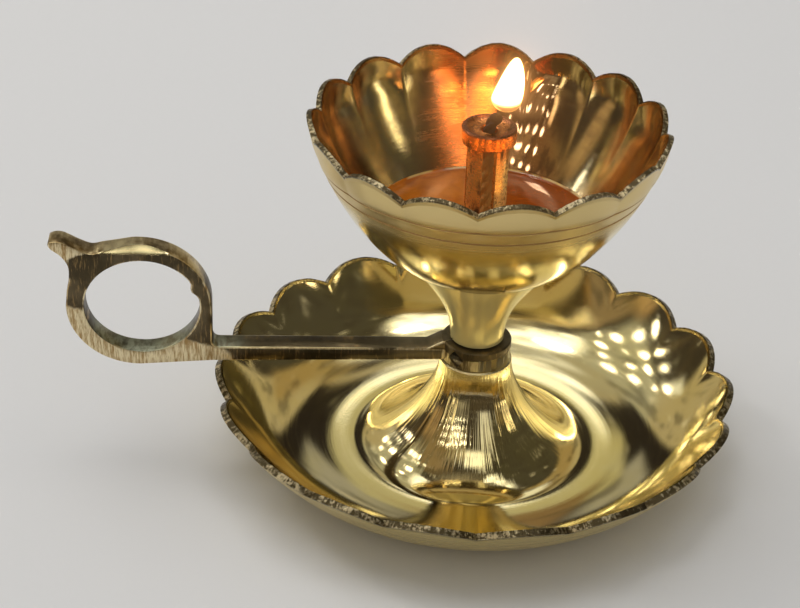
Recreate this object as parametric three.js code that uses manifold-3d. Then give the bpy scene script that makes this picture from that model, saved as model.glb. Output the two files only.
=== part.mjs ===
// Brass diya: a scalloped oil cup on a flared stem, standing in a scalloped saucer.
// A flat cast handle with a finger loop is held by its eye between the saucer's neck and the stem.
// Millimetres, +Z up, table at z = 0. The lamp is drawn with its stem on the z axis, the handle
// toward -X and the near side toward -Y, then moved so that the middle of its footprint is the origin.
import * as THREE from 'three';
import { mergeVertices } from 'three/addons/utils/BufferGeometryUtils.js';
import Module from 'manifold-3d';

const wasm = await Module();
wasm.setup();

// Fits
const SEAT_GAP = 0.3;
const BOSS_CLEARANCE = 0.3;
const THREAD_CLEARANCE = 0.3;
const SOCKET_CLEARANCE = 0.3;
const WICK_CLEARANCE = 0.3;

// Saucer
const SAUCER_LOBES = 18;
const SAUCER_CUSP_ANGLE = -3.3;
const SAUCER_CUSP_RADIUS = 57.0;
const SAUCER_CUSP_HEIGHT = 15.0;
const SAUCER_LOBE_SWELL = 2.6;
const SAUCER_LOBE_RISE = 2.8;
const SAUCER_LOBE_DEPTH = 9.0;
const SAUCER_RIM_SLOPE = 58;
const SAUCER_WALL = 1.5;
const SAUCER_TROUGH_RADIUS = 27.5;
const SAUCER_TROUGH_THICKNESS = 1.3;
const SAUCER_TROUGH_WIDTH = 13.5;
const SAUCER_CONE_TOE = 6.5;
const SAUCER_RIM_PULL = 12.0;

// Neck of the saucer, which the handle's eye sits on
const NECK_HEIGHT = 23.9;
const NECK_SHOULDER = 1.2;
const NECK_PULL = 11.5;
const NECK_THICKNESS = 6.9;
const BOSS_RADIUS = 7.0;

// Handle
const HANDLE_THICKNESS = 5.4;
const BAR_DEPTH = 2.8;
const BAR_DEPTH_AT_LOOP = 3.6;
const BAR_FILLET = 1.6;
const EYE_THICKNESS = 1.9;
const SKIRT_WALL = 0.6;
const GUSSET_LENGTH = 3.4;
const FINGER_HOLE_REACH = 75.1;
const FINGER_HOLE_RISE = 10.4;
const FINGER_HOLE_WIDTH = 25.6;
const FINGER_HOLE_HEIGHT = 23.4;
const LOOP_NEAR_BAND = 2.6;
const LOOP_FAR_BAND = 4.0;
const LOOP_TOP_BAND = 3.4;
// The thumb rest, from the top of the loop out to its tip and back to the loop's far side, as
// [outward, upward] distances from the corner where the loop's far side and top would meet
const THUMB_REST = [
  [-11.9, -0.6], [-8.5, -1.2], [-5.9, -1.7], [-3.1, -0.6], [0.5, 1.2],
  [3.1, 0.8], [2.8, -0.6], [0.6, -2.4], [-0.9, -4.9], [-1.0, -7.9], [-0.4, -11.1],
];
const THUMB_REST_START = 95;

// Cup and stem
const CUP_LOBES = 15;
const CUP_CUSP_ANGLE = -79.5;
const CUP_CUSP_RADIUS = 38.1;
const BOWL_HEIGHT = 29.7;
const CUP_LOBE_SWELL = 1.1;
const CUP_LOBE_RISE = 3.2;
const CUP_LOBE_DEPTH = 7.0;
const CUP_RIM_FLARE = 13;
const CUP_RIM_PULL = 10.7;
const CUP_WALL = 1.3;
const CUP_FLOOR_THICKNESS = 1.6;
const CUP_FLOOR_FILLET = 1.3;
const CREASE_RADIUS = 17.0;
const CREASE_BOWL_SLOPE = 17;
const CREASE_BOWL_PULL = 8.6;
const CREASE_STEM_SLOPE = 55;
const CREASE_STEM_PULL = 8.9;
const STEM_RADIUS = 6.1;
const STEM_HEIGHT = 21.7;
const STEM_PULL = 9.2;
const STEM_FOOT_WALL = 0.9;
const SOCKET_DEPTH = 2.0;

// Tie stud, nut and washers
const STUD_RADIUS = 3.0;
const STUD_CHAMFER = 0.5;
const THREAD_ENGAGEMENT = 10.0;
const THREAD_RUNOUT = 1.2;
const NUT_ACROSS_FLATS = 10.0;
const NUT_HEIGHT = 5.0;
const NUT_OVERRUN = 1.0;
const CLAMP_WASHER_RADIUS = 6.0;
const CLAMP_WASHER_THICKNESS = 1.0;
const STEM_WASHER_THICKNESS = 0.5;

// Wick holder
const HOLDER_RADIUS = 4.7;
const HOLDER_WALL = 1.3;
const HOLDER_HEIGHT = 31.3;
const HOLDER_SLOTS = 4;
const HOLDER_SLOT_WIDTH = 3.0;
const COLLAR_OVERHANG = 1.3;
const COLLAR_HEIGHT = 3.6;
const COLLAR_DISH = 0.9;
const COLLAR_RIM = 1.1;

// Wick, flame and oil
const WICK_RADIUS = 1.5;
const WICK_STAND = 2.2;
const WICK_RISE = 0.3;
const WICK_TIP_RISE = 3.0;
const WICK_LEAN = 1.7;
const FLAME_RADIUS = 3.3;
const FLAME_LENGTH = 12.4;
const FLAME_BELLY = 0.35;
const FLAME_TAPER = 1.3;
const FLAME_TILT = 14;
const OIL_DEPTH = 6.5;
const OIL_HOLDER_GAP = 0.5;
const OIL_EDGE_GAP = 0.3;

// Fineness
const SIDES_PER_LOBE = 4;
const ROUND_SIDES = 40;
const SMALL_ROUND_SIDES = 20;
const FILLET_STEPS = 4;

// Places that follow from the stack of neck, eye, stem and bowl
const neckRadius = BOSS_RADIUS + NECK_SHOULDER;
const neckSeat = NECK_HEIGHT - NECK_THICKNESS;
const bossTop = NECK_HEIGHT + BAR_DEPTH;
const eyeBottom = bossTop + SEAT_GAP;
const eyeTop = eyeBottom + EYE_THICKNESS;
const stemFoot = eyeTop + SEAT_GAP;
const stemWasherBottom = eyeTop + SEAT_GAP;
const stemWasherTop = stemWasherBottom + STEM_WASHER_THICKNESS;
const stemSeat = stemWasherTop + SEAT_GAP;
const studTop = stemSeat + THREAD_ENGAGEMENT;
const stemBoreTop = studTop + THREAD_RUNOUT;
const clampWasherTop = neckSeat - SEAT_GAP;
const clampWasherBottom = clampWasherTop - CLAMP_WASHER_THICKNESS;
const nutTop = clampWasherBottom - SEAT_GAP;
const nutBottom = nutTop - NUT_HEIGHT;
const studBottom = nutBottom - NUT_OVERRUN;
const studHoleRadius = STUD_RADIUS + THREAD_CLEARANCE;
const skirtInside = BOSS_RADIUS + BOSS_CLEARANCE;
const eyeRadius = skirtInside + SKIRT_WALL;
const washerRoom = STEM_RADIUS - STEM_FOOT_WALL;
const stemWasherRadius = washerRoom - THREAD_CLEARANCE;
const creaseHeight = stemFoot + STEM_HEIGHT;
const cupCuspHeight = creaseHeight + BOWL_HEIGHT;
const cupFloor = creaseHeight + CUP_FLOOR_THICKNESS;
const socketFloor = cupFloor - SOCKET_DEPTH;
const socketRadius = HOLDER_RADIUS + SOCKET_CLEARANCE;
const holderFoot = socketFloor + SEAT_GAP;
const holderTop = holderFoot + HOLDER_HEIGHT;
const oilLevel = cupFloor + OIL_DEPTH;

// Materials
const BRASS = new THREE.Color(0.78, 0.66, 0.33);

function metal(color, roughness) {
  return new THREE.MeshStandardMaterial({ color, roughness, metalness: 1 });
}

const materials = {
  polishedBrass: metal(BRASS, 0.16),
  satinBrass: metal(new THREE.Color(0.74, 0.64, 0.36), 0.3),
  antiqueBrass: metal(new THREE.Color(0.33, 0.28, 0.17), 0.45),
  turnedBrass: metal(new THREE.Color(0.72, 0.6, 0.3), 0.35),
  copperedBrass: metal(new THREE.Color(0.72, 0.42, 0.18), 0.3),
  oil: new THREE.MeshStandardMaterial({ color: 0x8a4a0c, roughness: 0.08, metalness: 0 }),
  charredCotton: new THREE.MeshStandardMaterial({ color: 0x2a211b, roughness: 0.95, metalness: 0 }),
  flame: new THREE.MeshStandardMaterial({
    color: 0xffd27a, emissive: 0xffb347, roughness: 1, metalness: 0,
  }),
};

// Closed body from a three.js geometry: shared corners are merged, needle triangles at the
// axis are dropped and the faces are turned to point out
function closedBody(geometry) {
  const bare = new THREE.BufferGeometry();
  bare.setAttribute('position', geometry.attributes.position);
  if (geometry.index) bare.setIndex(geometry.index);
  const merged = mergeVertices(bare);
  const corners = merged.index.array;
  const kept = [];
  for (let i = 0; i < corners.length; i += 3) {
    const [a, b, c] = corners.subarray(i, i + 3);
    if (a !== b && b !== c && c !== a) kept.push(a, b, c);
  }
  merged.setIndex(signedVolume(merged, kept) < 0 ? kept.reverse() : kept);
  return merged;
}

function signedVolume(geometry, corners) {
  const position = geometry.attributes.position;
  const [a, b, c] = [new THREE.Vector3(), new THREE.Vector3(), new THREE.Vector3()];
  let sum = 0;
  for (let i = 0; i < corners.length; i += 3) {
    a.fromBufferAttribute(position, corners[i]);
    b.fromBufferAttribute(position, corners[i + 1]);
    c.fromBufferAttribute(position, corners[i + 2]);
    sum += a.dot(b.cross(c)) / 6;
  }
  return sum;
}

function toSolid(geometry) {
  return new wasm.Manifold(new wasm.Mesh({
    numProp: 3,
    vertProperties: new Float32Array(geometry.attributes.position.array),
    triVerts: new Uint32Array(geometry.index.array),
  }));
}

function fromSolid(solid) {
  const mesh = solid.getMesh();
  const geometry = new THREE.BufferGeometry();
  geometry.setAttribute('position', new THREE.BufferAttribute(mesh.vertProperties, 3));
  geometry.setIndex(new THREE.BufferAttribute(mesh.triVerts, 1));
  return geometry;
}

// Turned body round the z axis from [radius, height] points. A first angle of zero faces -Y
// and angles grow toward +X.
function turned(outline, sides, firstAngle = 0) {
  const points = outline.map(([radius, height]) => new THREE.Vector2(radius, height));
  const lathe = new THREE.LatheGeometry(points, sides, THREE.MathUtils.degToRad(firstAngle));
  lathe.rotateX(Math.PI / 2);
  return closedBody(lathe);
}

function ring(innerRadius, outerRadius, bottom, top, sides) {
  return turned([
    [innerRadius, bottom], [outerRadius, bottom], [outerRadius, top], [innerRadius, top],
    [innerRadius, bottom],
  ], sides);
}

function disc(radius, bottom, top, sides) {
  return turned([[0, bottom], [radius, bottom], [radius, top], [0, top]], sides);
}

// Flat plate cut along a side view, [x, z] points, and centred on the xz plane
function sidePlate(outline, holes, thickness) {
  const shape = new THREE.Shape(outline.map(([x, z]) => new THREE.Vector2(x, z)));
  for (const hole of holes) {
    shape.holes.push(new THREE.Path(hole.map(([x, z]) => new THREE.Vector2(x, z))));
  }
  const plate = new THREE.ExtrudeGeometry(shape, { depth: thickness, bevelEnabled: false });
  plate.rotateX(Math.PI / 2);
  plate.translate(0, thickness / 2, 0);
  return closedBody(plate);
}

function box(from, to) {
  const size = to.map((value, axis) => value - from[axis]);
  const middle = to.map((value, axis) => (value + from[axis]) / 2);
  const block = new THREE.BoxGeometry(...size);
  block.translate(...middle);
  return closedBody(block);
}

// Smooth stretch of an outline between two points. Each end has a direction in degrees, zero
// pointing outward and 90 pointing up, and a pull, which is how far it holds that direction.
function sweep(start, startAngle, startPull, end, endAngle, endPull, steps) {
  const along = (angle, pull) => {
    const radians = THREE.MathUtils.degToRad(angle);
    return [Math.cos(radians) * pull, Math.sin(radians) * pull];
  };
  const [startX, startY] = along(startAngle, startPull);
  const [endX, endY] = along(endAngle, endPull);
  const curve = new THREE.CubicBezierCurve(
    new THREE.Vector2(...start),
    new THREE.Vector2(start[0] + startX, start[1] + startY),
    new THREE.Vector2(end[0] - endX, end[1] - endY),
    new THREE.Vector2(...end),
  );
  return curve.getPoints(steps).map((point) => [point.x, point.y]);
}

// The same outline moved sideways by a wall's thickness, to the left of its direction
function offset(outline, distance) {
  return outline.map(([x, y], i) => {
    const [beforeX, beforeY] = outline[Math.max(i - 1, 0)];
    const [afterX, afterY] = outline[Math.min(i + 1, outline.length - 1)];
    const length = Math.hypot(afterX - beforeX, afterY - beforeY);
    return [
      x - (afterY - beforeY) / length * distance,
      y + (afterX - beforeX) / length * distance,
    ];
  });
}

// Radius of a rising outline at a height between its ends
function radiusAt(outline, height) {
  const above = outline.findIndex((point) => point[1] >= height);
  const [lowRadius, lowHeight] = outline[above - 1];
  const [highRadius, highHeight] = outline[above];
  return THREE.MathUtils.mapLinear(height, lowHeight, highHeight, lowRadius, highRadius);
}

function ellipseArc(x, z, halfWidth, halfHeight, fromDegrees, toDegrees, steps) {
  const points = [];
  for (let i = 0; i <= steps; i += 1) {
    const angle = THREE.MathUtils.degToRad(fromDegrees + (toDegrees - fromDegrees) * i / steps);
    points.push([x + halfWidth * Math.cos(angle), z + halfHeight * Math.sin(angle)]);
  }
  return points;
}

// Scallops outside a radius: each lobe is an arch between two sharp cusps, full at the rim and
// fading out at the lobe depth below it
function scallop(geometry, { lobes, cuspAngle, cuspHeight, depth, swell, rise, outside }) {
  const position = geometry.attributes.position;
  const pitch = 360 / lobes;
  for (let i = 0; i < position.count; i += 1) {
    const x = position.getX(i);
    const y = position.getY(i);
    const height = position.getZ(i);
    const radius = Math.hypot(x, y);
    if (radius < outside) continue;
    const fade = THREE.MathUtils.smoothstep(height, cuspHeight - depth, cuspHeight);
    const angle = THREE.MathUtils.radToDeg(Math.atan2(x, -y)) - cuspAngle;
    const across = THREE.MathUtils.euclideanModulo(angle, pitch) / pitch;
    const arch = (1 - (2 * across - 1) ** 2) * fade;
    const grown = (radius + swell * arch) / radius;
    position.setXYZ(i, x * grown, y * grown, height + rise * arch);
  }
  return geometry;
}

// Saucer: neck and boss, hollow cone, trough and scalloped wall in one casting
function basePlate() {
  const rimSlope = THREE.MathUtils.degToRad(SAUCER_RIM_SLOPE);
  const innerRim = [
    SAUCER_CUSP_RADIUS - SAUCER_WALL * Math.sin(rimSlope),
    SAUCER_CUSP_HEIGHT + SAUCER_WALL * Math.cos(rimSlope),
  ];
  const trough = [SAUCER_TROUGH_RADIUS, SAUCER_TROUGH_THICKNESS];
  const cone = sweep([neckRadius, NECK_HEIGHT], -90, NECK_PULL, trough, 0, SAUCER_CONE_TOE, 9);
  const wall = sweep(trough, 0, SAUCER_TROUGH_WIDTH, innerRim, SAUCER_RIM_SLOPE, SAUCER_RIM_PULL, 9);
  const top = [...cone, ...wall.slice(1)];
  const under = offset(top, -SAUCER_WALL)
    .filter(([radius, height]) => height < neckSeat || radius > SAUCER_TROUGH_RADIUS)
    .map(([radius, height]) => [radius, Math.max(height, 0)])
    .reverse();
  const hollowRadius = under.at(-1)[0];
  const outline = [
    [studHoleRadius, neckSeat],
    [studHoleRadius, bossTop],
    [BOSS_RADIUS, bossTop],
    [BOSS_RADIUS, NECK_HEIGHT],
    ...top,
    ...under,
    [hollowRadius, neckSeat],
    [studHoleRadius, neckSeat],
  ];
  const plate = turned(outline, SAUCER_LOBES * SIDES_PER_LOBE, SAUCER_CUSP_ANGLE);
  return scallop(plate, {
    lobes: SAUCER_LOBES,
    cuspAngle: SAUCER_CUSP_ANGLE,
    cuspHeight: SAUCER_CUSP_HEIGHT,
    depth: SAUCER_LOBE_DEPTH,
    swell: SAUCER_LOBE_SWELL,
    rise: SAUCER_LOBE_RISE,
    outside: SAUCER_TROUGH_RADIUS,
  });
}

// Handle: a flat casting with bar, finger loop and thumb rest, and an eye that laps over the
// boss with half a skirt on the bar's side
function handleOutline() {
  const nearSide = -FINGER_HOLE_REACH + FINGER_HOLE_WIDTH / 2 + LOOP_NEAR_BAND;
  const farSide = -FINGER_HOLE_REACH - FINGER_HOLE_WIDTH / 2 - LOOP_FAR_BAND;
  const halfWidth = (nearSide - farSide) / 2;
  const halfHeight = FINGER_HOLE_HEIGHT / 2 + LOOP_TOP_BAND;
  const middle = [(nearSide + farSide) / 2, eyeBottom + FINGER_HOLE_RISE];
  const loopTop = middle[1] + halfHeight;
  const thumbRest = new THREE.SplineCurve(THUMB_REST.map(
    ([outward, upward]) => new THREE.Vector2(farSide - outward, loopTop + upward),
  ));
  return [
    [0, eyeBottom],
    ...ellipseArc(nearSide + BAR_FILLET, eyeBottom + BAR_FILLET, BAR_FILLET, BAR_FILLET,
      270, 180, FILLET_STEPS),
    ...ellipseArc(...middle, halfWidth, halfHeight, 0, THUMB_REST_START, 12),
    ...thumbRest.getPoints(2 * THUMB_REST.length).map((point) => [point.x, point.y]),
    ...ellipseArc(...middle, halfWidth, halfHeight, 180, 270, 12),
    [nearSide, eyeBottom - BAR_DEPTH_AT_LOOP],
    [0, eyeBottom - BAR_DEPTH],
  ];
}

function handle() {
  const fingerHole = ellipseArc(-FINGER_HOLE_REACH, eyeBottom + FINGER_HOLE_RISE,
    FINGER_HOLE_WIDTH / 2, FINGER_HOLE_HEIGHT / 2, 0, 360, 36).slice(1);
  const gusset = [
    [0, eyeBottom], [0, eyeTop], [-eyeRadius, eyeTop], [-eyeRadius - GUSSET_LENGTH, eyeBottom],
  ];
  const barPlate = toSolid(sidePlate(handleOutline(), [fingerHole], HANDLE_THICKNESS));
  const gussetPlate = toSolid(sidePlate(gusset, [], HANDLE_THICKNESS));
  const skirt = toSolid(disc(eyeRadius, eyeBottom - BAR_DEPTH, eyeBottom, ROUND_SIDES));
  const farHalf = toSolid(box([0, -2 * eyeRadius, 0], [2 * eyeRadius, 2 * eyeRadius, eyeBottom]));
  const bossRoom = toSolid(disc(skirtInside, 0, eyeBottom, ROUND_SIDES));
  const eye = toSolid(disc(eyeRadius, eyeBottom, eyeTop, ROUND_SIDES));
  const studHole = toSolid(disc(studHoleRadius, 0, eyeTop + SEAT_GAP, SMALL_ROUND_SIDES));
  return fromSolid(barPlate.add(skirt.subtract(farHalf)).subtract(bossRoom)
    .add(eye).add(gussetPlate).subtract(studHole));
}

// Cup: bowl, flare and stem in one casting, with a blind threaded hole in the stem's foot and
// a shallow socket in the bowl's floor
function bowlOutside() {
  return sweep([CREASE_RADIUS, creaseHeight], CREASE_BOWL_SLOPE, CREASE_BOWL_PULL,
    [CUP_CUSP_RADIUS, cupCuspHeight], 90 - CUP_RIM_FLARE, CUP_RIM_PULL, 10);
}

function bowlInside() {
  return offset(bowlOutside(), CUP_WALL).filter(([, height]) => height > cupFloor);
}

function cup() {
  const flare = sweep([STEM_RADIUS, stemFoot], 90, STEM_PULL,
    [CREASE_RADIUS, creaseHeight], CREASE_STEM_SLOPE, CREASE_STEM_PULL, 7);
  const outline = [
    [0, stemBoreTop],
    [studHoleRadius, stemBoreTop],
    [studHoleRadius, stemSeat],
    [washerRoom, stemSeat],
    [washerRoom, stemFoot],
    ...flare,
    ...bowlOutside().slice(1),
    ...bowlInside().reverse(),
    [bowlInside()[0][0] - CUP_FLOOR_FILLET, cupFloor],
    [socketRadius, cupFloor],
    [socketRadius, socketFloor],
    [0, socketFloor],
  ];
  const body = turned(outline, CUP_LOBES * SIDES_PER_LOBE, CUP_CUSP_ANGLE);
  return scallop(body, {
    lobes: CUP_LOBES,
    cuspAngle: CUP_CUSP_ANGLE,
    cuspHeight: cupCuspHeight,
    depth: CUP_LOBE_DEPTH,
    swell: CUP_LOBE_SWELL,
    rise: CUP_LOBE_RISE,
    outside: CREASE_RADIUS,
  });
}

// Fasteners
function tieStud() {
  const tip = STUD_RADIUS - STUD_CHAMFER;
  return turned([
    [0, studBottom], [tip, studBottom], [STUD_RADIUS, studBottom + STUD_CHAMFER],
    [STUD_RADIUS, studTop - STUD_CHAMFER], [tip, studTop], [0, studTop],
  ], SMALL_ROUND_SIDES);
}

function clampNut() {
  const cornerRadius = NUT_ACROSS_FLATS / Math.sqrt(3);
  const hexagon = toSolid(disc(cornerRadius, nutBottom, nutTop, 6));
  const bore = toSolid(disc(studHoleRadius, studBottom, clampWasherBottom, SMALL_ROUND_SIDES));
  return fromSolid(hexagon.subtract(bore));
}

// Wick holder: a tube slotted from the foot up into legs, under a dished collar
function wickHolder() {
  const wickHole = WICK_RADIUS + WICK_CLEARANCE;
  const boreRadius = HOLDER_RADIUS - HOLDER_WALL;
  const collarRadius = HOLDER_RADIUS + COLLAR_OVERHANG;
  const collarBottom = holderTop - COLLAR_HEIGHT;
  const tube = toSolid(turned([
    [boreRadius, holderFoot],
    [HOLDER_RADIUS, holderFoot],
    [HOLDER_RADIUS, collarBottom],
    [collarRadius, collarBottom],
    [collarRadius, holderTop],
    [collarRadius - COLLAR_RIM, holderTop],
    [wickHole, holderTop - COLLAR_DISH],
    [wickHole, collarBottom],
    [boreRadius, collarBottom],
    [boreRadius, holderFoot],
  ], ROUND_SIDES));
  const half = HOLDER_SLOT_WIDTH / 2;
  let slotted = tube;
  for (let slot = 0; slot < HOLDER_SLOTS; slot += 1) {
    const cutter = box([-half, 0, socketFloor], [half, 2 * HOLDER_RADIUS, collarBottom]);
    cutter.rotateZ(slot * 2 * Math.PI / HOLDER_SLOTS);
    slotted = slotted.subtract(toSolid(cutter));
  }
  return fromSolid(slotted);
}

// Wick: upright through the holder, with its burnt end leaning over
function wick() {
  const section = new THREE.Shape();
  section.absarc(0, 0, WICK_RADIUS, 0, 2 * Math.PI);
  const straightTop = holderTop + WICK_RISE;
  const route = new THREE.CatmullRomCurve3([
    new THREE.Vector3(0, 0, holderFoot + WICK_STAND),
    new THREE.Vector3(0, 0, holderTop - COLLAR_HEIGHT),
    new THREE.Vector3(0, 0, straightTop),
    new THREE.Vector3(WICK_LEAN, 0, straightTop + WICK_TIP_RISE),
  ]);
  return closedBody(new THREE.ExtrudeGeometry(section, {
    steps: 14, curveSegments: 6, bevelEnabled: false, extrudePath: route,
  }));
}

// Flame: a teardrop leaning over the wick's end
function flame() {
  const outline = [];
  const steps = 12;
  for (let i = 0; i <= steps; i += 1) {
    const along = i / steps;
    const belly = along < FLAME_BELLY
      ? Math.sqrt(1 - (1 - along / FLAME_BELLY) ** 2)
      : Math.cos((along - FLAME_BELLY) / (1 - FLAME_BELLY) * Math.PI / 2) ** FLAME_TAPER;
    outline.push([i === 0 || i === steps ? 0 : FLAME_RADIUS * belly, FLAME_LENGTH * along]);
  }
  const drop = turned(outline, SMALL_ROUND_SIDES);
  drop.rotateY(THREE.MathUtils.degToRad(FLAME_TILT));
  const wickTip = holderTop + WICK_RISE + WICK_TIP_RISE;
  drop.translate(WICK_LEAN + WICK_RADIUS / 2, 0, wickTip + 2 * SEAT_GAP);
  return drop;
}

// Oil: the pool between the bowl's wall and the wick holder
function oilPool() {
  const inner = HOLDER_RADIUS + OIL_HOLDER_GAP;
  const bottom = cupFloor + OIL_EDGE_GAP;
  const bowl = offset(bowlInside(), OIL_EDGE_GAP);
  const wall = bowl.filter(([, height]) => height > bottom && height < oilLevel);
  return turned([
    [inner, bottom],
    [wall[0][0] - CUP_FLOOR_FILLET, bottom],
    ...wall,
    [radiusAt(bowl, oilLevel), oilLevel],
    [inner, oilLevel],
    [inner, bottom],
  ], ROUND_SIDES);
}

// The lamp
const lamp = new THREE.Group();

function place(name, geometry, material) {
  const mesh = new THREE.Mesh(geometry, material);
  mesh.name = name;
  lamp.add(mesh);
}

place('base_plate', basePlate(), materials.polishedBrass);
place('handle', handle(), materials.antiqueBrass);
place('cup', cup(), materials.satinBrass);
place('tie_stud', tieStud(), materials.turnedBrass);
place('clamp_nut', clampNut(), materials.turnedBrass);
place('clamp_washer', ring(studHoleRadius, CLAMP_WASHER_RADIUS, clampWasherBottom, clampWasherTop,
  SMALL_ROUND_SIDES), materials.turnedBrass);
place('stem_washer', ring(studHoleRadius, stemWasherRadius, stemWasherBottom, stemWasherTop,
  SMALL_ROUND_SIDES), materials.turnedBrass);
place('wick_holder', wickHolder(), materials.copperedBrass);
place('wick', wick(), materials.charredCotton);
place('flame', flame(), materials.flame);
place('oil_pool', oilPool(), materials.oil);

// The origin is the middle of the footprint, on the table
const bounds = new THREE.Box3().setFromObject(lamp);
const middle = bounds.getCenter(new THREE.Vector3());
lamp.position.set(-middle.x, -middle.y, 0);
lamp.updateMatrixWorld(true);

export default lamp;
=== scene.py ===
import math

import bmesh
import bpy
from mathutils import Matrix, Vector, noise
from mathutils.geometry import interpolate_bezier


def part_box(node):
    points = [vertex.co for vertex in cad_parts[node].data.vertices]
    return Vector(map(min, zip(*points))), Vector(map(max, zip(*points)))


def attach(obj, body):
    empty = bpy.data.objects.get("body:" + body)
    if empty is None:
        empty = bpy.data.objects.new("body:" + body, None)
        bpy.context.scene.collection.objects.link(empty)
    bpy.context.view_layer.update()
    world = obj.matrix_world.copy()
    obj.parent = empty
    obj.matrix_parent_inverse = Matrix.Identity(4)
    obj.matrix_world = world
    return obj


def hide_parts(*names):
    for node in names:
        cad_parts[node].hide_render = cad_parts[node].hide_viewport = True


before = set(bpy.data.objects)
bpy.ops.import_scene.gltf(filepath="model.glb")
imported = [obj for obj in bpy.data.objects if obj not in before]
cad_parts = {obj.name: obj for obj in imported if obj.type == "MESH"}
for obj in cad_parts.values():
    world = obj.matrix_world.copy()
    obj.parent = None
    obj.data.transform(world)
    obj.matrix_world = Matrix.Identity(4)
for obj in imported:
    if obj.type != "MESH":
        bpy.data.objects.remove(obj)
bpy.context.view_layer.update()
stud_low, stud_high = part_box("tie_stud")
STEM_AXIS = Vector(((stud_low.x + stud_high.x) / 2, 0, 0))
MM = 0.001
FULL_TURN = 2 * math.pi

# Saucer
SAUCER_LOBES = 18
SAUCER_FIRST_CUSP = -3.3
SAUCER_CUSP_RADIUS = 57.0
SAUCER_CUSP_HEIGHT = 15.0
SAUCER_RIM_SLOPE = 58
SAUCER_WALL = 1.5
SAUCER_TROUGH = (27.5, 1.3)
NECK_RADIUS = 8.2
NECK_HEIGHT = 23.9
NECK_SEAT = 17.0
BOSS_RADIUS = 7.0
BOSS_TOP = 26.7

# Cup and stem
CUP_LOBES = 15
CUP_FIRST_CUSP = -79.5
CUP_CUSP_RADIUS = 38.1
CUP_CUSP_HEIGHT = 80.6
CUP_WALL = 1.3
CUP_FLOOR = 52.5
CREASE = (17.0, 50.9)
STEM_RADIUS = 6.1
STEM_FOOT = 29.2
STEM_SEAT = 30.0
STEM_BORE_TOP = 41.2
SOCKET_RADIUS = 5.0
SOCKET_FLOOR = 50.5
OIL_LEVEL = 59.0
ENGRAVED_LINES = (73.0, 76.3)
FLUTE_DEPTH = 0.62
FLUTE_FOOT = 61.0

# Handle
BORE_RADIUS = 3.3
HANDLE_THICKNESS = 5.4
EYE_BOTTOM = 27.0
EYE_TOP = 28.9
EYE_RADIUS = 7.9
SKIRT_INSIDE = 7.3
BAR_DEPTH = 2.8
BAR_DEPTH_AT_LOOP = 3.6
BAR_FILLET = 1.6
GUSSET_LENGTH = 3.4
EDGE_ROUNDING = 0.35
RIDGE_WIDTH = 1.6
RIDGE_START = 60
RIDGE_END = 124
LOOP_NEAR = -59.7
LOOP_FAR = -91.9
LOOP_TOP = 52.5
LOOP_MIDDLE = ((LOOP_NEAR + LOOP_FAR) / 2, 37.4)
LOOP_HALF_WIDTH = (LOOP_NEAR - LOOP_FAR) / 2
LOOP_HALF_HEIGHT = LOOP_TOP - LOOP_MIDDLE[1]
FINGER_HOLE_MIDDLE = (-75.1, EYE_BOTTOM + 10.4)
FINGER_HOLE_HALF = (25.6 / 2, 23.4 / 2)
NUB_ANGLE = 22
NUB_SPREAD = 11
NUB_SHARE = 0.085
THUMB_REST = (
    (-11.87, -0.6), (-8.5, -1.2), (-5.9, -1.7), (-3.1, -0.6), (0.5, 1.2), (3.05, 0.8),
    (2.77, -0.6), (0.6, -2.4), (-0.9, -4.9), (-1.0, -7.9), (-0.4, -11.1),
)

# Wick holder, wick and flame
HOLDER_FOOT = 50.8
HOLDER_TOP = 82.1
HOLDER_RADIUS = 4.7
HOLDER_BORE = 3.4
COLLAR_RADIUS = 6.0
COLLAR_BOTTOM = 78.5
WICK_HOLE = 1.8
SLOT_WIDTH = 3.0
WICK_FOOT = 53.0
WICK_LENGTH = 30.9
WICK_TWISTS = 3.5
STRAND_RADIUS = 0.78
STRAND_REACH = 0.62
EMBER_RADIUS = 1.35
EMBER_SPOT = (1.3, -0.1, 83.9)
FLAME_FOOT = Vector((2.45, 0, 85.9))
FLAME_LENGTH = 12.4
FLAME_RADIUS = 3.3
FLAME_TILT = 13
FLAME_BELLY = 0.2

ROUND_SIDES = 96


# Outlines
def sweep(start, start_angle, start_pull, end, end_angle, end_pull, steps):
    """Smooth stretch of an outline: each end has a direction in degrees and a pull."""
    lead = Vector((math.cos(math.radians(start_angle)), math.sin(math.radians(start_angle))))
    trail = Vector((math.cos(math.radians(end_angle)), math.sin(math.radians(end_angle))))
    first = Vector(start)
    last = Vector(end)
    near = first + lead * start_pull
    far = last - trail * end_pull
    return [tuple(point) for point in interpolate_bezier(first, near, far, last, steps + 1)]


def smooth_run(points, steps):
    """Smooth line through all the points."""
    run = []
    spots = [Vector(point) for point in points]
    for i in range(len(spots) - 1):
        before = spots[max(i - 1, 0)]
        after = spots[min(i + 2, len(spots) - 1)]
        near = spots[i] + (spots[i + 1] - before) / 6
        far = spots[i + 1] - (after - spots[i]) / 6
        run += [tuple(p) for p in interpolate_bezier(spots[i], near, far, spots[i + 1], steps + 1)[:-1]]
    return run + [tuple(spots[-1])]


def offset(outline, distance):
    """The outline moved sideways, to the left of its direction."""
    moved = []
    for i, (x, y) in enumerate(outline):
        before = Vector(outline[max(i - 1, 0)])
        after = Vector(outline[min(i + 1, len(outline) - 1)])
        along = (after - before).normalized()
        moved.append((x - along.y * distance, y + along.x * distance))
    return moved


def arc(x, z, half_width, half_height, start, end, steps):
    points = []
    for i in range(steps + 1):
        angle = math.radians(start + (end - start) * i / steps)
        points.append((x + half_width * math.cos(angle), z + half_height * math.sin(angle)))
    return points


def radius_at(outline, height):
    for (low_radius, low), (high_radius, high) in zip(outline, outline[1:]):
        if low <= height <= high:
            return low_radius + (high_radius - low_radius) * (height - low) / (high - low)
    return outline[-1][0]


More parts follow.
